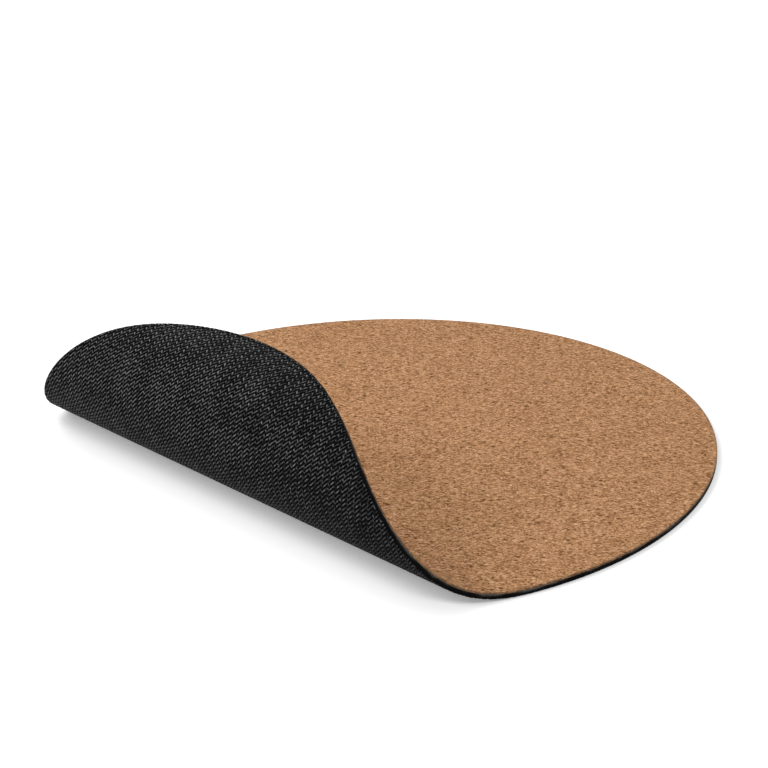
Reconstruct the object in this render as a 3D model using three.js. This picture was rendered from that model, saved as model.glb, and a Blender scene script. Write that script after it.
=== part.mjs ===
// Oval mouse pad: a thin cork face bonded to a black rubber base, lying on a desk with one end rolled up and over.
// Millimetres, +Z up. The desk is z = 0, and the origin lies on it, under the middle of the oval.
// The end that rolls up is on the -X side, and the straight lines of the roll run along Y.

import * as THREE from 'three';
import { toCreasedNormals } from 'three/addons/utils/BufferGeometryUtils.js';

// Outline of the flat pad
const LENGTH = 225;
const WIDTH = 200;

// Layers, from the desk upwards
const RUBBER_THICKNESS = 1.4;
const GLUE_THICKNESS = 0.1;
const CORK_THICKNESS = 0.5;

// Rounds along the cut edge, below and above
const RUBBER_EDGE_RADIUS = 0.4;
const CORK_EDGE_RADIUS = 0.2;

// The rolled end
const ROLL_SKEW_DEGREES = 22; // from the way the end rolls to the long axis of the oval
const ROLL_START = 34; // from the middle of the oval to the line where the pad leaves the desk
const ROLL_TURN_DEGREES = 160; // how far the free edge has turned over, with 0 for a flat pad
const BEND_IN = 17; // length of pad over which the bend builds up
const BEND_OUT = 10; // length of pad over which the bend dies out towards the free edge
const BEND_TIGHTENING = 1.29; // how much sharper the bend is where it starts to die out than where it has built up

// Fineness of the facets
const ROWS = 120; // strips across the pad, from its +X end to its free edge
const EDGE_ROUND_STEPS = 3;
const ROLL_WALK_STEPS = 200; // steps along the roll in finding one place on it

// Angle between neighbouring facets above which the edge between them stays sharp
const CREASE_ANGLE = THREE.MathUtils.degToRad(35);

const CORK_BOTTOM = RUBBER_THICKNESS + GLUE_THICKNESS;
const PAD_THICKNESS = CORK_BOTTOM + CORK_THICKNESS;
const RING_POINTS = 2 * ROWS;
const ROLL_SKEW = THREE.MathUtils.degToRad(ROLL_SKEW_DEGREES);
const ROLL_TURN = THREE.MathUtils.degToRad(ROLL_TURN_DEGREES);

// The layer half way up keeps its length in the bend: the rubber outside it stretches, the cork inside it shortens.
const NEUTRAL_HEIGHT = PAD_THICKNESS / 2;

// Length of pad from the line where it leaves the desk to its free edge
const REACH = Math.hypot((LENGTH / 2) * Math.cos(ROLL_SKEW), (WIDTH / 2) * Math.sin(ROLL_SKEW));
const FLAP_LENGTH = REACH - ROLL_START;

// The bend, in radians for each millimetre of pad, rises evenly, tightens evenly and falls evenly to nothing.
// Its height is set so that the turns of the three stretches add up to the whole turn of the free edge.
const BEND_MIDDLE = FLAP_LENGTH - BEND_IN - BEND_OUT;
const TURN_FOR_UNIT_BEND =
  BEND_IN / 2 + ((1 + BEND_TIGHTENING) / 2) * BEND_MIDDLE + (BEND_TIGHTENING * BEND_OUT) / 2;
const BUILT_UP_BEND = ROLL_TURN / TURN_FOR_UNIT_BEND;

function bendAt(run) {
  if (run < BEND_IN) {
    return BUILT_UP_BEND * (run / BEND_IN);
  }
  const toFreeEdge = FLAP_LENGTH - run;
  if (toFreeEdge < BEND_OUT) {
    return BUILT_UP_BEND * BEND_TIGHTENING * (toFreeEdge / BEND_OUT);
  }
  return BUILT_UP_BEND * THREE.MathUtils.lerp(1, BEND_TIGHTENING, (run - BEND_IN) / BEND_MIDDLE);
}

// Where the neutral layer has got to after a run of pad past the start of the roll: how far on, how high and
// how far turned over.
function rollAt(run) {
  const step = run / ROLL_WALK_STEPS;
  let forward = 0;
  let rise = 0;
  let turn = 0;
  for (let walked = 0; walked < ROLL_WALK_STEPS; walked += 1) {
    const stepTurn = bendAt((walked + 0.5) * step) * step;
    forward += step * Math.cos(turn + stepTurn / 2);
    rise += step * Math.sin(turn + stepTurn / 2);
    turn += stepTurn;
  }
  return { forward, rise, turn };
}

// Takes a point of the flat pad to its place on the pad with its end rolled up.
function rolledUp(x, y, height) {
  const run = -ROLL_START - x;
  if (run <= 0) {
    return new THREE.Vector3(x, y, height);
  }
  const { forward, rise, turn } = rollAt(run);
  const aboveNeutral = height - NEUTRAL_HEIGHT;
  return new THREE.Vector3(
    -ROLL_START - forward + aboveNeutral * Math.sin(turn),
    y,
    NEUTRAL_HEIGHT + rise + aboveNeutral * Math.cos(turn),
  );
}

// A ring of points round the oval, drawn in from the cut edge by inset, at one height in the flat pad.
// It runs anticlockwise from its +X end. Points equally many steps from that end on the two sides have the same X,
// so that a line across the pad between them lies along the roll and stays straight.
function ringPoints({ inset, height }) {
  const longRadius = LENGTH / 2 - inset;
  const shortRadius = WIDTH / 2 - inset;
  const oval = new THREE.EllipseCurve(0, 0, longRadius, shortRadius, 0, 2 * Math.PI, false, ROLL_SKEW);
  const endAngle = Math.atan2(shortRadius * Math.sin(ROLL_SKEW), longRadius * Math.cos(ROLL_SKEW));
  const points = [];
  for (let i = 0; i < RING_POINTS; i += 1) {
    const { x, y } = oval.getPoint(i / RING_POINTS - endAngle / (2 * Math.PI));
    points.push(rolledUp(x, y, height));
  }
  return points;
}

// Triangles that fill a ring with rows of facets across the pad. They face up where the ring is flat.
function rowsAcross(firstPoint) {
  const triangles = [];
  for (let row = 0; row < ROWS; row += 1) {
    const left = row;
    const right = (RING_POINTS - row) % RING_POINTS;
    const nextLeft = row + 1;
    const nextRight = RING_POINTS - row - 1;
    if (nextLeft !== nextRight) {
      triangles.push([left, nextLeft, nextRight]);
    }
    if (left !== right) {
      triangles.push([left, nextRight, right]);
    }
  }
  return triangles.map((corners) => corners.map((corner) => firstPoint + corner));
}

// Triangles of the band between one ring and the next one up. They face away from the pad.
function edgeBand(firstPoint) {
  const triangles = [];
  for (let i = 0; i < RING_POINTS; i += 1) {
    const low = firstPoint + i;
    const nextLow = firstPoint + ((i + 1) % RING_POINTS);
    triangles.push([low, nextLow, nextLow + RING_POINTS], [low, nextLow + RING_POINTS, low + RING_POINTS]);
  }
  return triangles;
}

// One layer of the pad as a closed solid. Its rings run from the rim of its lower face, up the cut edge, to the rim
// of its upper face.
function layerGeometry(rings) {
  const points = rings.flatMap(ringPoints);
  const lastRing = (rings.length - 1) * RING_POINTS;
  const lowerFace = rowsAcross(0).map((corners) => corners.toReversed());
  const cutEdge = rings.slice(1).flatMap((_, band) => edgeBand(band * RING_POINTS));
  const upperFace = rowsAcross(lastRing);
  const geometry = new THREE.BufferGeometry().setFromPoints(points);
  geometry.setIndex([lowerFace, cutEdge, upperFace].flat(2));
  return toCreasedNormals(geometry, CREASE_ANGLE);
}

// Rings of a quarter round, from the cut edge to the rim of a face. facing is 1 for an upper face and -1 for a lower.
function edgeRound(radius, faceHeight, facing) {
  const rings = [];
  for (let step = 0; step <= EDGE_ROUND_STEPS; step += 1) {
    const angle = (step / EDGE_ROUND_STEPS) * (Math.PI / 2);
    rings.push({
      inset: radius * (1 - Math.cos(angle)),
      height: faceHeight - facing * radius * (1 - Math.sin(angle)),
    });
  }
  return rings;
}

function layer(name, rings, look) {
  const mesh = new THREE.Mesh(layerGeometry(rings), new THREE.MeshStandardMaterial(look));
  mesh.name = name;
  return mesh;
}

// The underside grips the desk, and its lower edge is slightly rounded by the cutting die.
const rubberBase = layer(
  'rubber_base',
  [...edgeRound(RUBBER_EDGE_RADIUS, 0, -1).reverse(), { inset: 0, height: RUBBER_THICKNESS }],
  { color: 0x2b2c2e, roughness: 0.75, metalness: 0 },
);

// The glue covers the whole oval and was cut together with the sheets that it bonds.
const glueFilm = layer(
  'glue_film',
  [
    { inset: 0, height: RUBBER_THICKNESS },
    { inset: 0, height: CORK_BOTTOM },
  ],
  { color: 0x6b5a3e, roughness: 0.5, metalness: 0 },
);

// The face that the mouse runs on, with a worn round along its upper edge.
const corkSheet = layer(
  'cork_sheet',
  [{ inset: 0, height: CORK_BOTTOM }, ...edgeRound(CORK_EDGE_RADIUS, PAD_THICKNESS, 1)],
  { color: 0xb08460, roughness: 0.9, metalness: 0 },
);

const mousePad = new THREE.Group();
mousePad.name = 'mouse_pad';
mousePad.add(rubberBase, glueFilm, corkSheet);

export default mousePad;
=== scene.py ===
"""Looks of an oval mouse pad: a cork face bonded to a black rubber base, with one end rolled up and over.

The layers are drawn flat, in millimetres, with their relief in them, and are then rolled up like the real
sheet.
"""

import math
from dataclasses import dataclass, field

import bpy
import numpy as np
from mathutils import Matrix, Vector
from mathutils.geometry import delaunay_2d_cdt


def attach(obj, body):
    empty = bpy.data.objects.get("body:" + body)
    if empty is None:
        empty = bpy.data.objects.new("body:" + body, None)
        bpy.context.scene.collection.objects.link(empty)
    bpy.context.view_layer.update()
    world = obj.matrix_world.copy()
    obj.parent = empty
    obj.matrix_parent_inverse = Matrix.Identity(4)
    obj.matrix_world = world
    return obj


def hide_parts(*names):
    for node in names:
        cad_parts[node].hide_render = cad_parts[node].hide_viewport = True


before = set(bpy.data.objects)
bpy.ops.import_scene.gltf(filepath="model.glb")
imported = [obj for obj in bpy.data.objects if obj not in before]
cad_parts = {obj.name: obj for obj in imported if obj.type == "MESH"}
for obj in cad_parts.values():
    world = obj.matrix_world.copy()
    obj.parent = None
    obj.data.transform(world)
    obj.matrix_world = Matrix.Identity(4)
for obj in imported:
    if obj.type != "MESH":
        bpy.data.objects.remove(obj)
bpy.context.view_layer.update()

MM = 0.001
BODY = "root"
WHITE = (1.0, 1.0, 1.0, 1.0)

# Outline and layers of the flat pad
LENGTH = 225.0
WIDTH = 200.0
RUBBER_THICKNESS = 1.4
GLUE_THICKNESS = 0.1
CORK_THICKNESS = 0.5
RUBBER_EDGE_RADIUS = 0.4
CORK_EDGE_RADIUS = 0.2
CORK_BOTTOM = RUBBER_THICKNESS + GLUE_THICKNESS
PAD_THICKNESS = CORK_BOTTOM + CORK_THICKNESS

# The rolled end
ROLL_SKEW = math.radians(22)
ROLL_START = 34.0
ROLL_TURN = math.radians(160)
BEND_IN = 17.0
BEND_OUT = 10.0
BEND_TIGHTENING = 1.29
ROLL_WALK_STEPS = 4000
NEUTRAL_HEIGHT = PAD_THICKNESS / 2
REACH = math.hypot(LENGTH / 2 * math.cos(ROLL_SKEW), WIDTH / 2 * math.sin(ROLL_SKEW))
FLAP_LENGTH = REACH - ROLL_START

# Fineness of the cut edge, the room between it and the nearest whole tile of a face, and two numbers that
# are next to nothing
EDGE_POINTS = 1440
EDGE_ROUND_STEPS = 4
TILE_MARGIN = 0.25
FILL_TOLERANCE = 1e-7
SMALLEST_SLOPE = 1e-9

# What the marks of a face are on the cut edge
EDGE_MARKS = {"cut_edge": 1.0, "pits": 0.0}

# Corners of a tile in its grid, anticlockwise
TILE_CORNERS = ((0, 0), (1, 0), (1, 1), (0, 1))

# Twill pressed into the underside: each thread runs over two and under two, one thread further on in each
# row. A step is the way from one thread to the next, and widths and crowns are in such steps.
WEFT_DIRECTION = math.radians(46.9)
WARP_DIRECTION = math.radians(-36.9)
WEFT_STEP = 0.951
WARP_STEP = 0.863
TWILL_REPEAT = 4
WEFT_CROWN = 0.5
WARP_CROWN = 2.5
WEFT_HALF_WIDTH = 0.33
WARP_HALF_WIDTH = 0.37
WEFT_DIP = 0.10
WARP_DIP = 0.50
TILES_PER_STEP = 2
WEAVE_DEPTH = 0.36
RIM_FADE = 1.0
RIM_DEPTH_SHARE = 0.5

# Places along X in the flat pad where the painted highlights on the weave's crowns change, and how much
# of its height a thread's shade keeps there: paler crowns painted in to stand for gloss on the roll
PAINTED_HIGHLIGHT_LOW = -70.0
PAINTED_HIGHLIGHT_MIDDLE = -82.0
PAINTED_HIGHLIGHT_EDGE = -98.0
WEFT_PAINTED_HIGHLIGHT_LOW = 0.94
WEFT_PAINTED_HIGHLIGHT_EDGE = 0.93
WARP_PAINTED_HIGHLIGHT_MIDDLE = 0.94
WARP_PAINTED_HIGHLIGHT_EDGE = 1.04

# Along Y the painted highlights and painted shade of the weave draw together: from where to where, how far,
# and towards which shade
PAINTED_HIGHLIGHT_FADE_START = 10.0
PAINTED_HIGHLIGHT_FADE_END = -70.0
PAINTED_HIGHLIGHT_FADE = 0.32
PAINTED_HIGHLIGHT_FADED_SHADE = 0.72

# Looks of the rubber: scales of noise, in each millimetre, how far it swings the shade, and the shades'
# greys, which paint shade black into the pits and paint highlights grey onto the crowns over the rubber's own
# black
WEAVE_DRIFT_SCALE = 0.12
WEAVE_DRIFT = 0.15
WEAVE_PATCH_SCALE = 1.0
WEAVE_PATCHES = 0.50
RUBBER_GRAIN_SCALE = 6.0
RUBBER_GRAIN = 0.3
RUBBER_GRAIN_HEIGHT = 0.15
RUBBER_GREYS_WITH_PAINTED_LIGHT = [
    (0.30, (0.0001, 0.0001, 0.0001)),
    (0.74, (0.0052, 0.0052, 0.0053)),
    (0.86, (0.0580, 0.0580, 0.0585)),
    (1.00, (0.1950, 0.1950, 0.1964)),
]
RUBBER_SHADE_RANGE = (0.1, 1.0)
RUBBER_ROUGHNESS = (0.75, 0.5)
RUBBER_SPECULAR = 0.02
RUBBER_BUMP = 0.6
RUBBER_BUMP_HEIGHT = 0.2

# The rubber's cut edge: how much paler it gets up to its top, long scuffed patches, and where round the edge
# they take over from the weave
EDGE_TOP_GAIN = 0.34
SCUFF_SCALE = 0.15
SCUFF_NOISE_RANGE = (0.4, 0.65)
SCUFF_SHADES = (0.42, 0.60)
SCUFF_RANGE = (0.6, 1.0)

# Shape of the cork: a jittered grid with pits where granules came out, and a crumbled edge
CORK_GRID = 0.66
CORK_JITTER = 0.22
CORK_PIT_SHARE = 0.05
CORK_PIT_DEPTH = 0.09
CORK_SHALLOWEST_PIT = 0.4
CORK_ROUGHNESS_DEPTH = 0.012
CORK_EDGE_CRUMBLE = 0.05
CORK_CRUMB_SPACING = 0.8
CORK_RIM_WEAR = 0.35
SEED = 7

# Looks of the cork: granules, drawn out along one way of the sheet and moved about, how many there are in
# each millimetre, their shares of the tone, and the colours of the tones
GRAIN_DIRECTION = math.radians(-43)
GRAIN_STRETCH = 1.2
WANDER_SCALE = 1.6
WANDER = 0.7
COARSE_GRANULES = 1.5
COARSE_SHARE = 0.36
FINE_GRANULES = 2.8
FINE_SHARE = 0.46
CORK_GRAIN_SCALE = 4.5
CORK_GRAIN_SHARE = 0.38
CORK_DRIFT_SCALE = 0.045
CORK_DRIFT = 0.05
CORK_TONES = [
    (0.18, (0.055, 0.018, 0.006)),
    (0.40, (0.285, 0.128, 0.051)),
    (0.60, (0.453, 0.230, 0.104)),
    (0.80, (0.620, 0.350, 0.181)),
    (1.00, (0.800, 0.510, 0.300)),
]
CORK_TONE_RANGE = (0.2, 1.0)
CORK_ROUGHNESS = (0.92, 0.78)
CORK_SPECULAR = 0.1
CORK_BUMP = 0.5
CORK_BUMP_HEIGHT = 0.06

# Specks of bark: places for them in each millimetre, the number from which a place holds one, how far from
# its middle it has faded and is whole, how strong its colour is, and how deep it lies beside the tones
BARK_PLACES = 0.5
BARK_PICKED_FROM = 0.66
BARK_FADED = 0.34
BARK_WHOLE = 0.14
BARK_STRENGTH = 0.85
BARK_DEPTH = 0.8
BARK_COLOUR = (0.080, 0.028, 0.008)

# Darker cork in the pits and on the worn rim
PIT_STRENGTH = 0.6
PIT_COLOUR = (0.130, 0.050, 0.016)
WEAR_SCALE = 0.9
WEAR_NOISE_RANGE = (0.36, 0.62)
WEAR_STRENGTH = (0.45, 0.95)
WEAR_COLOUR = (0.125, 0.075, 0.046)

# The glue line: how far it draws back from the cut edge, and its looks
GLUE_RECESS = 0.12
GLUE_WAVE_SPACING = 2.5
GLUE_DROPS = 1.5
GLUE_TONES = [
    (0.30, (0.075, 0.047, 0.020)),
    (0.55, (0.147, 0.102, 0.048)),
    (0.75, (0.210, 0.150, 0.078)),
]
GLUE_DROP_RANGE = (0.3, 0.7)
GLUE_ROUGHNESS = (0.35, 0.6)
GLUE_BUMP = 0.4
GLUE_BUMP_HEIGHT = 0.03

# The number in the middle of a noise's range
NOISE_MIDDLE = 0.5

# The view of the photograph
CAMERA_DISTANCE = 593.7
CAMERA_ELEVATION = math.radians(22.58)
CAMERA_AZIMUTH = math.radians(227.48)
CAMERA_HEADING = math.radians(47.12)
CAMERA_PITCH = math.radians(20.81)
SENSOR_WIDTH = 36.0
FOCAL_LENGTH_IN_PIXELS = 2000.0
IMAGE_WIDTH_IN_PIXELS = 768.0

# Light: a level is how bright that light alone makes a white card on the floor, and all of them come to
# about 1. Soft boxes look at the middle of the pad, from directions in degrees.
WORLD_LEVEL = 0.28
SOFT_BOXES = {
    "back_box": {"azimuth": 97, "elevation": 51, "distance": 950, "size": 700, "level": 0.36},
    "left_box": {"azimuth": 160, "elevation": 40, "distance": 2000, "size": 700, "level": 0.16},
    "front_box": {"azimuth": 227, "elevation": 48, "distance": 2000, "size": 600, "level": 0.25},
}
FLOOR_COLOUR = 0.85
FLOOR_GLOW = 0.30
FLOOR_GLOW_START = 300.0
FLOOR_GLOW_FULL = 900.0
FLOOR_SIZE = 20000.0
FLOOR_GAP = 0.02

# The flat map for baking: the oval, its cut edge folded out round it, and its bonded face small in a corner
MAP_WIDTH = 232.0
MAP_CORNER = 101.0
BONDED_FACE_SCALE = 0.1


def roll_table():
    """How far on, how high and how far turned the neutral layer is, for each run of pad past the start."""
    run = np.linspace(0, FLAP_LENGTH, ROLL_WALK_STEPS + 1)
    bend_places = [0, BEND_IN, FLAP_LENGTH - BEND_OUT, FLAP_LENGTH]
    bend = np.interp(run, bend_places, [0, 1, BEND_TIGHTENING, 0])

    def walked(values):
        steps = (values[1:] + values[:-1]) / 2 * np.diff(run)
        return np.concatenate([[0], np.cumsum(steps)])

    turn = walked(bend)
    turn *= ROLL_TURN / turn[-1]
    return run, walked(np.cos(turn)), walked(np.sin(turn)), turn


ROLL_TABLE = roll_table()


def rolled_up(flat):
    """Takes points of the flat pad to their places on the pad with its end rolled up."""
    x, y, height = flat.T
    run, forward, rise, turn = ROLL_TABLE
    past_start = np.maximum(-ROLL_START - x, 0)
    rolled = x < -ROLL_START
    turned = np.interp(past_start, run, turn)
    above = height - NEUTRAL_HEIGHT
    rolled_x = -ROLL_START - np.interp(past_start, run, forward) + above * np.sin(turned)
    rolled_z = NEUTRAL_HEIGHT + np.interp(past_start, run, rise) + above * np.cos(turned)
    return np.column_stack([np.where(rolled, rolled_x, x), y, np.where(rolled, rolled_z, height)])


def skewed(along, across):
    """Points given along and across the oval, in the pad's own directions."""
    x = along * math.cos(ROLL_SKEW) - across * math.sin(ROLL_SKEW)
    y = along * math.sin(ROLL_SKEW) + across * math.cos(ROLL_SKEW)
    return np.column_stack([x, y])


def ring_angles():
    """Steps round the oval, anticlockwise from its +X end."""
    end_angle = math.atan2(WIDTH / 2 * math.sin(ROLL_SKEW), LENGTH / 2 * math.cos(ROLL_SKEW))
    return np.arange(EDGE_POINTS) / EDGE_POINTS * 2 * math.pi - end_angle


def oval_ring(inset):
    """Points round the oval, drawn in from its cut edge."""
    angles = ring_angles()
    return skewed((LENGTH / 2 - inset) * np.cos(angles), (WIDTH / 2 - inset) * np.sin(angles))


def outward():
    """Directions out of the oval at the points of a ring."""
    angles = ring_angles()
    out = skewed(np.cos(angles) / LENGTH, np.sin(angles) / WIDTH)
    return out / np.linalg.norm(out, axis=1)[:, None]


def edge_distance(points):
    """How far inside the cut edge points lie. Far from the edge it is only roughly right."""
    x, y = points[..., 0], points[..., 1]
    along = (x * math.cos(ROLL_SKEW) + y * math.sin(ROLL_SKEW)) / (LENGTH / 2)
    across = (y * math.cos(ROLL_SKEW) - x * math.sin(ROLL_SKEW)) / (WIDTH / 2)
    slope = 2 * np.hypot(along / (LENGTH / 2), across / (WIDTH / 2))
    return (1 - along**2 - across**2) / np.maximum(slope, SMALLEST_SLOPE)


def at_height(points, height):
    """Flat points with a height, which is one number or one for each point."""
    return np.column_stack([points, np.broadcast_to(height, len(points))])


@dataclass
class Face:
    """The outer face of a layer: flat points, those of its rim first, tiles, and values at the points."""

    flat: np.ndarray
    tiles: np.ndarray
    triangles: np.ndarray
    marks: dict = field(default_factory=dict)


def tiled_oval(step_a, step_b, inset):
    """Fills a ring with four-sided tiles of two steps, and with triangles between the tiles and the ring.

    Returns the points, those of the ring first, the tiles and the triangles. All face up.
    """
    rim = oval_ring(inset)
    steps = np.column_stack([step_a, step_b])
    half = np.ceil(np.abs(np.linalg.inv(steps)).sum(axis=1) * LENGTH / 2).astype(int)
    counts = np.meshgrid(np.arange(-half[0], half[0] + 1), np.arange(-half[1], half[1] + 1), indexing="ij")
    places = np.stack(counts, axis=-1) @ steps.T
    clear = edge_distance(places) > inset + TILE_MARGIN
    whole = np.logical_and.reduce([tile_corner(clear, *corner) for corner in TILE_CORNERS])
    used = np.zeros_like(clear)
    for corner in TILE_CORNERS:
        tile_corner(used, *corner)[whole] = True
    number = np.full(clear.shape, -1)
    number[used] = len(rim) + np.arange(used.sum())
    tiles = np.column_stack([tile_corner(number, *corner)[whole] for corner in TILE_CORNERS])
    points = np.vstack([rim, places[used]])
    triangles = fill_between(points, len(rim), border_of(whole, number))
    cells = np.floor(points[triangles].mean(axis=1) @ np.linalg.inv(steps).T).astype(int) + half
    in_tile = np.pad(whole, 1)[tuple(np.clip(cells + 1, 0, np.array(whole.shape) + 1).T)]
    return points, tiles, facing_up(points, triangles[~in_tile])


def tile_corner(grid, i, j):
    """The part of a grid of points that holds corner i, j of each tile."""
    return grid[i : grid.shape[0] - 1 + i, j : grid.shape[1] - 1 + j]


def border_of(whole, number):
    """Pairs of points along the border of the whole tiles."""
    padded = np.pad(whole, 1)
    ends_a = padded[1:-1, 1:] != padded[1:-1, :-1]
    ends_b = padded[1:, 1:-1] != padded[:-1, 1:-1]
    along_a = np.column_stack([number[:-1, :][ends_a], number[1:, :][ends_a]])
    along_b = np.column_stack([number[:, :-1][ends_b], number[:, 1:][ends_b]])
    return np.vstack([along_a, along_b])


def fill_between(points, rim_count, border):
    """Triangles over everything inside the rim, with edges along the rim and along the border."""
    around = np.arange(rim_count)
    kept = np.concatenate([around, np.unique(border)])
    renumbered = np.full(len(points), -1)
    renumbered[kept] = np.arange(len(kept))
    edges = np.vstack([np.column_stack([around, np.roll(around, -1)]), border])
    corners = [Vector(point) for point in points[kept]]
    filled = delaunay_2d_cdt(corners, renumbered[edges].tolist(), [], 0, FILL_TOLERANCE)
    faces, sources = filled[2:4]
    source = np.array([found[0] for found in sources])
    return kept[source[np.array(faces)]]


def facing_up(points, triangles):
    """The same triangles, each with its corners anticlockwise."""
    a, b, c = (points[triangles[:, k]] for k in range(3))
    clockwise = (b - a)[:, 0] * (c - a)[:, 1] < (b - a)[:, 1] * (c - a)[:, 0]
    return np.where(clockwise[:, None], triangles[:, ::-1], triangles)


def rows_across(first):
    """Triangles that fill a ring of points with rows across the pad, facing down."""
    rows = np.arange(EDGE_POINTS // 2)
    left, right = rows, (EDGE_POINTS - rows) % EDGE_POINTS
    next_left, next_right = rows + 1, EDGE_POINTS - rows - 1
    near = np.column_stack([next_right, next_left, left])[next_left != next_right]
    far = np.column_stack([right, next_right, left])[left != right]
    return first + np.vstack([near, far])


def edge_band(upper, lower):
    """Four-sided faces between a ring and the next one down, facing away from the pad."""
    i = np.arange(EDGE_POINTS)
    j = np.roll(i, -1)
    return np.column_stack([lower + i, lower + j, upper + j, upper + i])


def edge_round(radius):
    """(inset, distance from the face) along a quarter round, from next to the rim up to the cut edge."""
    angles = np.linspace(0, math.pi / 2, EDGE_ROUND_STEPS + 1)[1:]
    return [(radius * (1 - math.sin(angle)), radius * (1 - math.cos(angle))) for angle in angles]


def random_numbers(shape, seed):
    """Even random numbers from 0 to 1, the same on each run."""
    return np.random.default_rng(seed).random(shape)


def ring_wave(spacing, seed):
    """Random numbers from 0 to 1 round the cut edge, with a new one about every spacing."""
    count = int(math.pi * (LENGTH + WIDTH) / 2 / spacing)
    places = np.arange(EDGE_POINTS) / EDGE_POINTS * count
    return np.interp(places, np.arange(count), random_numbers(count, seed), period=count)


def weave_steps():
    """One step along the weft and one along the warp, from thread to thread."""
    weft = WEFT_STEP * np.array([math.cos(WEFT_DIRECTION), math.sin(WEFT_DIRECTION)])
    warp = WARP_STEP * np.array([math.cos(WARP_DIRECTION), math.sin(WARP_DIRECTION)])
    return weft, warp


def thread_counters():
    """Directions that count threads: a point times the first gives its warp thread, the second its weft."""
    return np.linalg.inv(np.column_stack(weave_steps()))


def weave_height(points):
    """Height of the weave anywhere on the underside, from 0 in its pits to 1 on its crowns."""
    i, j = (points @ thread_counters().T).T
    warp_thread, weft_thread = np.floor(i + 0.5), np.floor(j + 0.5)

    def thread(off_middle, half_width, past_crown, dip):
        rounded = np.sqrt(np.maximum(1 - (off_middle / half_width) ** 2, 0))
        wave = np.cos(2 * math.pi / TWILL_REPEAT * past_crown)
        return rounded * (1 - dip + dip * wave)

    weft = thread(j - weft_thread, WEFT_HALF_WIDTH, i - weft_thread - WEFT_CROWN, WEFT_DIP)
    warp = thread(i - warp_thread, WARP_HALF_WIDTH, warp_thread - j - WARP_CROWN, WARP_DIP)
    return np.maximum(weft, warp)


def map_places(flat, rings):
    """Places on the flat map: the face as it is, and the rings folded out round its rim."""
    rim = flat[:EDGE_POINTS]
    places = [flat[:, :2]]
    folded_out = np.zeros(EDGE_POINTS)
    for before, ring in zip([rim, *rings], rings):
        folded_out = folded_out + np.linalg.norm(ring - before, axis=1)
        places.append(rim[:, :2] + outward() * folded_out[:, None])
    return np.vstack(places)


def build_layer(name, face, rings, facing_down, material):
    """A layer of the pad, rolled up.

    rings run from the rim of its outer face, over the cut edge, to its bonded face.
    """
    flat = np.vstack([face.flat, *rings])
    starts = [0, *(len(face.flat) + EDGE_POINTS * k for k in range(len(rings)))]
    bands = np.vstack([edge_band(*pair) for pair in zip(starts, starts[1:])])
    bonded = rows_across(starts[-1])
    groups = [face.tiles, face.triangles, bands, bonded]
    if facing_down:
        groups = [group[:, ::-1] for group in groups]

    mesh = bpy.data.meshes.new(name)
    all_faces = [corners for group in groups for corners in group.tolist()]
    mesh.from_pydata((rolled_up(flat) * MM).tolist(), [], all_faces)
    is_bonded = np.repeat([False, False, False, True], [len(group) for group in groups])
    mesh.polygons.foreach_set("use_smooth", ~is_bonded)

    spread_out = map_places(face.flat, rings)
    in_corner = MAP_CORNER + BONDED_FACE_SCALE * flat[:, :2]
    loops = [places[group.ravel()] for places, group in zip([spread_out] * 3 + [in_corner], groups)]
    flat_map = mesh.uv_layers.new(name="OFBake")
    flat_map.data.foreach_set("uv", (0.5 + np.vstack(loops) / MAP_WIDTH).astype(np.float32).ravel())

    keep_values(mesh, "flat_mm", "FLOAT_VECTOR", "vector", flat)
    over_round = np.minimum(np.arange(1, len(rings) + 1) / EDGE_ROUND_STEPS, 1)
    for mark, values in face.marks.items():
        on_edge = np.repeat(EDGE_MARKS[mark] * over_round, EDGE_POINTS)
        keep_values(mesh, mark, "FLOAT", "value", np.concatenate([values, on_edge]))
    mesh.materials.append(material)
    piece = bpy.data.objects.new(name, mesh)
    bpy.context.scene.collection.objects.link(piece)
    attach(piece, BODY)
    return piece


def keep_values(mesh, name, kind, part, values):
    """Stores a value for each point of a mesh, for its material to read."""
    attribute = mesh.attributes.new(name, kind, "POINT")
    attribute.data.foreach_set(part, values.astype(np.float32).ravel())


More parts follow.
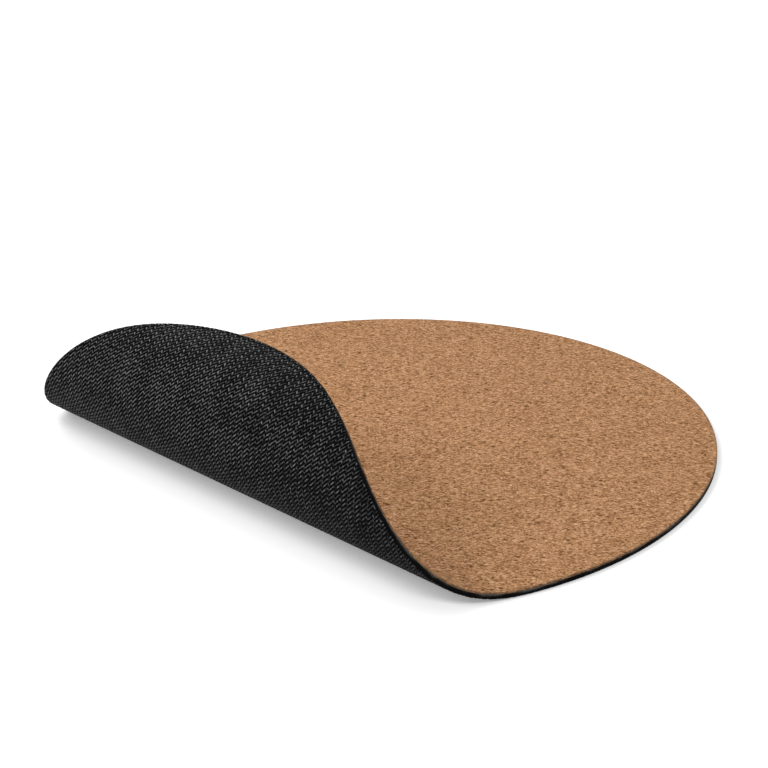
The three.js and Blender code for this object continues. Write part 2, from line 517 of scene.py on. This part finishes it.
class Shader:
    """Builds the nodes of a material or of the world."""

    def __init__(self, owner):
        self.owner = owner
        owner.use_nodes = True
        self.tree = owner.node_tree
        self.tree.nodes.clear()

    def put(self, socket, value):
        if isinstance(value, bpy.types.NodeSocket):
            self.tree.links.new(value, socket)
        else:
            socket.default_value = value

    def add(self, kind, inputs=None, **settings):
        made = self.tree.nodes.new("ShaderNode" + kind)
        for setting, value in settings.items():
            setattr(made, setting, value)
        for socket, value in (inputs or {}).items():
            self.put(made.inputs[socket], value)
        return made

    def kept(self, name, output="Fac"):
        return self.add("Attribute", attribute_name=name).outputs[output]

    def maths(self, operation, first, second=0.0, third=0.0, clamp=False):
        values = {0: first, 1: second, 2: third}
        return self.add("Math", values, operation=operation, use_clamp=clamp).outputs[0]

    def vector_maths(self, operation, first, second):
        return self.add("VectorMath", {0: first, 1: second}, operation=operation).outputs[0]

    def times_direction(self, place, direction):
        made = self.add("VectorMath", {0: place, 1: (*direction, 0.0)}, operation="DOT_PRODUCT")
        return made.outputs["Value"]

    def noise(self, place, scale, detail=2.0, roughness=0.5, output="Fac"):
        values = {"Vector": place, "Scale": scale, "Detail": detail, "Roughness": roughness}
        return self.add("TexNoise", values).outputs[output]

    def granules(self, place, scale):
        """A random number for each granule, and the distance from its middle."""
        made = self.add("TexVoronoi", {"Vector": place, "Scale": scale}, feature="F1")
        number = self.add("SeparateColor", {0: made.outputs["Color"]}).outputs[0]
        return number, made.outputs["Distance"]

    def spread(self, value, low, high, new_low=0.0, new_high=1.0):
        ends = {"From Min": low, "From Max": high, "To Min": new_low, "To Max": new_high}
        return self.add("MapRange", {"Value": value, **ends}).outputs["Result"]

    def swing(self, value, amount, around):
        """around, moved up or down by value's distance from a half."""
        return self.maths("MULTIPLY_ADD", self.maths("SUBTRACT", value, NOISE_MIDDLE), amount, around)

    def ramp(self, value, stops):
        made = self.add("ValToRGB", {"Fac": value})
        elements = made.color_ramp.elements
        while len(elements) < len(stops):
            elements.new(1.0)
        for element, (position, colour) in zip(elements, stops):
            element.position = position
            element.color = (*colour, 1.0)
        return made.outputs["Color"]

    def blend(self, share, first, second):
        made = self.add("Mix", {0: share, 2: first, 3: second}, data_type="FLOAT")
        return made.outputs[0]

    def tint(self, share, colour, other):
        made = self.add("Mix", {0: share, 6: colour, 7: (*other, 1.0)}, data_type="RGBA")
        return made.outputs[2]

    def bump(self, height, strength, distance):
        values = {"Height": height, "Strength": strength, "Distance": distance}
        return self.add("Bump", values).outputs["Normal"]

    def seen(self):
        """1 for what the camera sees, also in a mirror or through glass, and 0 for light on other things."""
        path = self.add("LightPath").outputs
        mirrored = self.maths("MAXIMUM", path["Is Camera Ray"], path["Is Glossy Ray"])
        return self.maths("MAXIMUM", mirrored, path["Is Transmission Ray"])

    def finish(self, surface, output="OutputMaterial"):
        self.add(output, {"Surface": surface.outputs[0]})
        return self.owner


def cork_material():
    """Pressed cork: tan granules of many tones, dark specks of bark, pits, and a browner, rubbed rim."""
    shader = Shader(bpy.data.materials.new("cork"))
    flat = shader.kept("flat_mm", "Vector")
    stretch = (GRAIN_STRETCH, 1 / GRAIN_STRETCH, 1)
    turned = {"Vector": flat, "Rotation": (0, 0, GRAIN_DIRECTION), "Scale": stretch}
    place = shader.add("Mapping", turned, vector_type="TEXTURE").outputs[0]
    wander = shader.noise(place, WANDER_SCALE, output="Color")
    wander = shader.vector_maths("SUBTRACT", wander, (NOISE_MIDDLE, NOISE_MIDDLE, NOISE_MIDDLE))
    wander = shader.vector_maths("MULTIPLY", wander, (WANDER, WANDER, WANDER))
    place = shader.vector_maths("ADD", place, wander)

    coarse, _ = shader.granules(place, COARSE_GRANULES)
    fine, _ = shader.granules(place, FINE_GRANULES)
    grain = shader.noise(place, CORK_GRAIN_SCALE, detail=3.0, roughness=0.6)
    tone = shader.maths("MULTIPLY", coarse, COARSE_SHARE)
    tone = shader.maths("MULTIPLY_ADD", fine, FINE_SHARE, tone)
    tone = shader.maths("MULTIPLY_ADD", grain, CORK_GRAIN_SHARE, tone)
    tone = shader.swing(shader.noise(flat, CORK_DRIFT_SCALE, detail=1.0), CORK_DRIFT, tone)
    colour = shader.ramp(tone, CORK_TONES)

    picked, from_middle = shader.granules(place, BARK_PLACES)
    speck = shader.spread(from_middle, BARK_FADED, BARK_WHOLE)
    bark = shader.maths("MULTIPLY", shader.maths("GREATER_THAN", picked, BARK_PICKED_FROM), speck)
    colour = shader.tint(shader.maths("MULTIPLY", bark, BARK_STRENGTH), colour, BARK_COLOUR)
    colour = shader.tint(shader.maths("MULTIPLY", shader.kept("pits"), PIT_STRENGTH), colour, PIT_COLOUR)
    patches = shader.spread(shader.noise(flat, WEAR_SCALE, detail=3.0), *WEAR_NOISE_RANGE, *WEAR_STRENGTH)
    wear = shader.maths("MULTIPLY", shader.kept("cut_edge"), patches)
    colour = shader.tint(wear, colour, WEAR_COLOUR)

    relief = shader.maths("MULTIPLY_ADD", bark, -BARK_DEPTH, tone)
    surface = shader.add(
        "BsdfPrincipled",
        {
            "Base Color": colour,
            "Roughness": shader.spread(tone, *CORK_TONE_RANGE, *CORK_ROUGHNESS),
            "Specular IOR Level": CORK_SPECULAR,
            "Normal": shader.bump(relief, CORK_BUMP, CORK_BUMP_HEIGHT * MM),
        },
    )
    return shader.finish(surface)


def woven_threads(shader, flat):
    """The nodes of weave_height, as the heights of the weft and of the warp."""
    across_warp, across_weft = thread_counters()
    i = shader.times_direction(flat, across_warp)
    j = shader.times_direction(flat, across_weft)
    warp_thread = shader.maths("FLOOR", shader.maths("ADD", i, 0.5))
    weft_thread = shader.maths("FLOOR", shader.maths("ADD", j, 0.5))

    def thread(off_middle, half_width, past_crown, dip):
        off = shader.maths("DIVIDE", off_middle, half_width)
        inside = shader.maths("SUBTRACT", 1.0, shader.maths("MULTIPLY", off, off), clamp=True)
        wave = shader.maths("COSINE", shader.maths("MULTIPLY", past_crown, 2 * math.pi / TWILL_REPEAT))
        rise = shader.maths("MULTIPLY_ADD", wave, dip, 1 - dip)
        return shader.maths("MULTIPLY", shader.maths("SQRT", inside), rise)

    past_weft_crown = shader.maths("SUBTRACT", shader.maths("SUBTRACT", i, weft_thread), WEFT_CROWN)
    past_warp_crown = shader.maths("SUBTRACT", shader.maths("SUBTRACT", warp_thread, j), WARP_CROWN)
    weft = thread(shader.maths("SUBTRACT", j, weft_thread), WEFT_HALF_WIDTH, past_weft_crown, WEFT_DIP)
    warp = thread(shader.maths("SUBTRACT", i, warp_thread), WARP_HALF_WIDTH, past_warp_crown, WARP_DIP)
    return weft, warp


def weave_with_painted_highlights(shader, weft, warp, x, y):
    """Shades of the weave with painted highlights: paler weft crowns half way up the roll, paler warp crowns
    by the free edge, and less contrast towards -Y.
    """
    weft = shader.maths("MULTIPLY", weft, shader.spread(x, PAINTED_HIGHLIGHT_LOW, PAINTED_HIGHLIGHT_MIDDLE, WEFT_PAINTED_HIGHLIGHT_LOW, 1.0))
    weft = shader.maths("MULTIPLY", weft, shader.spread(x, PAINTED_HIGHLIGHT_MIDDLE, PAINTED_HIGHLIGHT_EDGE, 1.0, WEFT_PAINTED_HIGHLIGHT_EDGE))
    warp_highlight_share = shader.spread(x, PAINTED_HIGHLIGHT_MIDDLE, PAINTED_HIGHLIGHT_EDGE, WARP_PAINTED_HIGHLIGHT_MIDDLE, WARP_PAINTED_HIGHLIGHT_EDGE)
    highlighted_weave = shader.maths("MAXIMUM", weft, shader.maths("MULTIPLY", warp, warp_highlight_share))
    # Towards -Y the painted highlights and painted shade of the weave fade to one grey
    fade = shader.spread(y, PAINTED_HIGHLIGHT_FADE_START, PAINTED_HIGHLIGHT_FADE_END, 0.0, PAINTED_HIGHLIGHT_FADE)
    return shader.blend(fade, highlighted_weave, PAINTED_HIGHLIGHT_FADED_SHADE)


def rubber_material():
    """Black rubber: painted shade in the pits of its weave, grey crowns that are partly painted highlight,
    and a cut edge paler towards its top with scuffed patches.
    """
    shader = Shader(bpy.data.materials.new("rubber"))
    flat = shader.kept("flat_mm", "Vector")
    places = shader.add("SeparateXYZ", {0: flat}).outputs
    weft, warp = woven_threads(shader, flat)
    weave = shader.maths("MAXIMUM", weft, warp)
    # The weave's shades with painted highlights on its crowns, set by place on the sheet
    highlighted_weave = weave_with_painted_highlights(shader, weft, warp, places["X"], places["Y"])
    grain = shader.noise(flat, RUBBER_GRAIN_SCALE, detail=3.0, roughness=0.6)
    # The cut edge gets paler towards its top, with scuffed patches on top of that
    paler_top_and_scuffs = shader.spread(places["Z"], RUBBER_EDGE_RADIUS, RUBBER_THICKNESS, 0.0, EDGE_TOP_GAIN)
    scuff_noise = shader.noise(flat, SCUFF_SCALE, detail=3.0, roughness=0.65)
    paler_top_and_scuffs = shader.maths("ADD", paler_top_and_scuffs, shader.spread(scuff_noise, *SCUFF_NOISE_RANGE, *SCUFF_SHADES))
    shade = shader.swing(shader.noise(flat, WEAVE_DRIFT_SCALE), WEAVE_DRIFT, highlighted_weave)
    shade = shader.swing(shader.noise(flat, WEAVE_PATCH_SCALE, detail=1.0), WEAVE_PATCHES, shade)
    shade = shader.blend(shader.spread(shader.kept("cut_edge"), *SCUFF_RANGE), shade, paler_top_and_scuffs)
    shade = shader.swing(grain, RUBBER_GRAIN, shade)
    relief = shader.maths("MULTIPLY_ADD", grain, RUBBER_GRAIN_HEIGHT, weave)
    surface = shader.add(
        "BsdfPrincipled",
        {
            # Base colour: the rubber's black, with painted shade in the pits and painted highlights on the
            # crowns
            "Base Color": shader.ramp(shade, RUBBER_GREYS_WITH_PAINTED_LIGHT),
            "Roughness": shader.spread(shade, *RUBBER_SHADE_RANGE, *RUBBER_ROUGHNESS),
            "Specular IOR Level": RUBBER_SPECULAR,
            "Normal": shader.bump(relief, RUBBER_BUMP, RUBBER_BUMP_HEIGHT * MM),
        },
    )
    return shader.finish(surface)


def glue_material():
    """Dried contact adhesive, amber brown and a little uneven."""
    shader = Shader(bpy.data.materials.new("glue"))
    drops = shader.noise(shader.kept("flat_mm", "Vector"), GLUE_DROPS, detail=3.0, roughness=0.6)
    surface = shader.add(
        "BsdfPrincipled",
        {
            "Base Color": shader.ramp(drops, GLUE_TONES),
            "Roughness": shader.spread(drops, *GLUE_DROP_RANGE, *GLUE_ROUGHNESS),
            "Normal": shader.bump(drops, GLUE_BUMP, GLUE_BUMP_HEIGHT * MM),
        },
    )
    return shader.finish(surface)


def make_rubber():
    """The rubber base, with the twill pressed into its underside, less deep along the rim."""
    weft, warp = weave_steps()
    points, tiles, triangles = tiled_oval(weft / TILES_PER_STEP, warp / TILES_PER_STEP, RUBBER_EDGE_RADIUS)
    in_from_rim = (edge_distance(points) - RUBBER_EDGE_RADIUS) / RIM_FADE
    fade = RIM_DEPTH_SHARE + (1 - RIM_DEPTH_SHARE) * np.clip(in_from_rim, 0, 1)
    depth = WEAVE_DEPTH * fade * (1 - weave_height(points))
    face = Face(at_height(points, depth), tiles, triangles, {"cut_edge": np.zeros(len(points))})
    rings = []
    for inset, above in edge_round(RUBBER_EDGE_RADIUS):
        left_of_depth = (1 - above / RUBBER_EDGE_RADIUS) * depth[:EDGE_POINTS]
        rings.append(at_height(oval_ring(inset), above + left_of_depth))
    rings.append(at_height(oval_ring(0), RUBBER_THICKNESS))
    piece = build_layer("rubber_woven_base", face, rings, True, rubber_material())
    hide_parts("rubber_base")


def make_cork():
    """The cork sheet, sanded flat but for its pits, with a crumbled cut edge."""
    step_x, step_y = np.array([CORK_GRID, 0.0]), np.array([0.0, CORK_GRID])
    points, tiles, triangles = tiled_oval(step_x, step_y, CORK_EDGE_RADIUS)
    count = len(points)
    clear_of_rim = edge_distance(points) > CORK_EDGE_RADIUS + TILE_MARGIN + CORK_GRID
    points += clear_of_rim[:, None] * CORK_JITTER * (2 * random_numbers((count, 2), SEED) - 1)
    pitted = clear_of_rim & (random_numbers(count, SEED + 1) < CORK_PIT_SHARE)
    pit_shares = CORK_SHALLOWEST_PIT + (1 - CORK_SHALLOWEST_PIT) * random_numbers(count, SEED + 2)
    pits = np.where(pitted, pit_shares, 0)
    depth = CORK_PIT_DEPTH * pits + CORK_ROUGHNESS_DEPTH * random_numbers(count, SEED + 3) * clear_of_rim
    wear = np.clip(1 - edge_distance(points) / CORK_RIM_WEAR, 0, 1)
    face = Face(at_height(points, PAD_THICKNESS - depth), tiles, triangles, {"pits": pits, "cut_edge": wear})
    crumbled = outward() * CORK_EDGE_CRUMBLE * ring_wave(CORK_CRUMB_SPACING, SEED + 4)[:, None]
    rings = []
    for inset, below in edge_round(CORK_EDGE_RADIUS):
        rings.append(at_height(oval_ring(inset) - crumbled, PAD_THICKNESS - below))
    rings.append(at_height(oval_ring(0), CORK_BOTTOM))
    piece = build_layer("cork_granule_sheet", face, rings, False, cork_material())
    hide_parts("cork_sheet")


def make_glue():
    """The film of glue between the two sheets, drawn back unevenly from the cut edge."""
    ring = oval_ring(0) - outward() * GLUE_RECESS * ring_wave(GLUE_WAVE_SPACING, SEED + 5)[:, None]
    no_tiles = np.empty((0, 4), int)
    face = Face(at_height(ring, CORK_BOTTOM), no_tiles, rows_across(0)[:, ::-1])
    piece = build_layer("glue_line", face, [at_height(ring, RUBBER_THICKNESS)], False, glue_material())
    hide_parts("glue_film")


def make_floor():
    """A plain white floor that runs on to the horizon.

    To look at, it glows a little by the pad and white far off.
    """
    half = FLOOR_SIZE / 2 * MM
    corners = [(x * half, y * half, -FLOOR_GAP * MM) for x, y in ((-1, -1), (1, -1), (1, 1), (-1, 1))]
    mesh = bpy.data.meshes.new("floor")
    mesh.from_pydata(corners, [], [(0, 1, 2, 3)])
    shader = Shader(bpy.data.materials.new("floor"))
    plain = shader.add("BsdfDiffuse", {"Color": (FLOOR_COLOUR, FLOOR_COLOUR, FLOOR_COLOUR, 1.0)})
    white = shader.add("BsdfDiffuse", {"Color": WHITE})
    place = shader.add("NewGeometry").outputs["Position"]
    far_off = shader.add("VectorMath", {0: place}, operation="LENGTH").outputs["Value"]
    strength = shader.spread(far_off, FLOOR_GLOW_START * MM, FLOOR_GLOW_FULL * MM, FLOOR_GLOW, 1.0)
    glow = shader.add("Emission", {"Strength": strength})
    lit_white = shader.add("AddShader", {0: white.outputs[0], 1: glow.outputs[0]})
    surface = shader.add("MixShader", {0: shader.seen(), 1: plain.outputs[0], 2: lit_white.outputs[0]})
    mesh.materials.append(shader.finish(surface))
    floor = bpy.data.objects.new("floor", mesh)
    bpy.context.scene.collection.objects.link(floor)


def make_world():
    """Even white light from all round, and a white background to look at."""
    shader = Shader(bpy.data.worlds.new("studio"))
    light = shader.add("Background", {"Color": WHITE, "Strength": WORLD_LEVEL})
    white = shader.add("Background", {"Color": WHITE, "Strength": 1.0})
    surface = shader.add("MixShader", {0: shader.seen(), 1: light.outputs[0], 2: white.outputs[0]})
    bpy.context.scene.world = shader.finish(surface, "OutputWorld")


def direction(azimuth, elevation):
    """The direction of a place seen from the middle of the pad, with angles in radians."""
    level = math.cos(elevation)
    return Vector((level * math.cos(azimuth), level * math.sin(azimuth), math.sin(elevation)))


def make_soft_box(name, azimuth, elevation, distance, size, level):
    """A square lamp that looks at the middle of the pad."""
    towards = direction(math.radians(azimuth), math.radians(elevation))
    lamp = bpy.data.lights.new(name, "AREA")
    lamp.shape = "SQUARE"
    lamp.size = size * MM
    lamp.energy = level * (math.pi * distance * MM) ** 2 / towards.z
    holder = bpy.data.objects.new(name, lamp)
    holder.location = towards * distance * MM
    holder.rotation_euler = towards.to_track_quat("Z", "Y").to_euler()
    bpy.context.scene.collection.objects.link(holder)


def make_camera():
    """The camera of the photograph."""
    data = bpy.data.cameras.new("camera")
    data.sensor_width = SENSOR_WIDTH
    data.lens = SENSOR_WIDTH * FOCAL_LENGTH_IN_PIXELS / IMAGE_WIDTH_IN_PIXELS
    camera = bpy.data.objects.new("camera", data)
    camera.location = direction(CAMERA_AZIMUTH, CAMERA_ELEVATION) * CAMERA_DISTANCE * MM
    camera.rotation_euler = direction(CAMERA_HEADING, -CAMERA_PITCH).to_track_quat("-Z", "Y").to_euler()
    bpy.context.scene.collection.objects.link(camera)
    bpy.context.scene.camera = camera


make_rubber()
make_glue()
make_cork()
make_camera()
make_floor()
make_world()
for box_name, box in SOFT_BOXES.items():
    make_soft_box(box_name, **box)
bpy.context.scene.view_settings.view_transform = "Standard"
